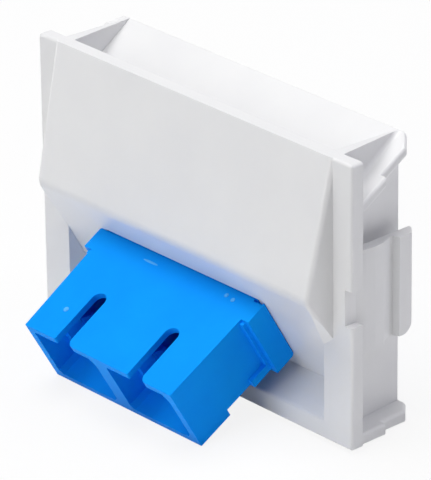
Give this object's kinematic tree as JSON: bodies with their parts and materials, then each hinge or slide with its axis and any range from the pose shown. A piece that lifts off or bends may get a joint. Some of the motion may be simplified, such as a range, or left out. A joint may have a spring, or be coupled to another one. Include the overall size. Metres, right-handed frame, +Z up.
{
  "type": "fibre adapter insert",
  "caption": "Snap-in wall insert with a hooded faceplate whose tilted panel carries a duplex SC fibre adapter pointing down and forward.",
  "frame": {"origin": "middle of the faceplate's back face, which seats on the wall frame", "axes": "+X to the right seen from the front, +Y back into the wall, +Z up"},
  "size_m": [0.0536, 0.0286, 0.0364],
  "materials": {
    "housing_plastic": "fine satin moulded white plastic",
    "adapter_plastic": "satin moulded blue plastic",
    "holder_plastic": "moulded blue plastic",
    "sleeve_ceramic": "ground white zirconia",
    "clip_steel": "stamped spring steel strip"
  },
  "bodies": {
    "root": {"insert_housing": "housing_plastic", "adapter_front_housing": "adapter_plastic", "adapter_rear_housing": "adapter_plastic", "sleeve_holder_front_left": "holder_plastic", "sleeve_holder_front_right": "holder_plastic", "sleeve_holder_rear_left": "holder_plastic", "sleeve_holder_rear_right": "holder_plastic", "alignment_sleeve_left": "sleeve_ceramic", "alignment_sleeve_right": "sleeve_ceramic", "retaining_clip_left": "clip_steel", "retaining_clip_right": "clip_steel"}
  },
  "joints": []
}
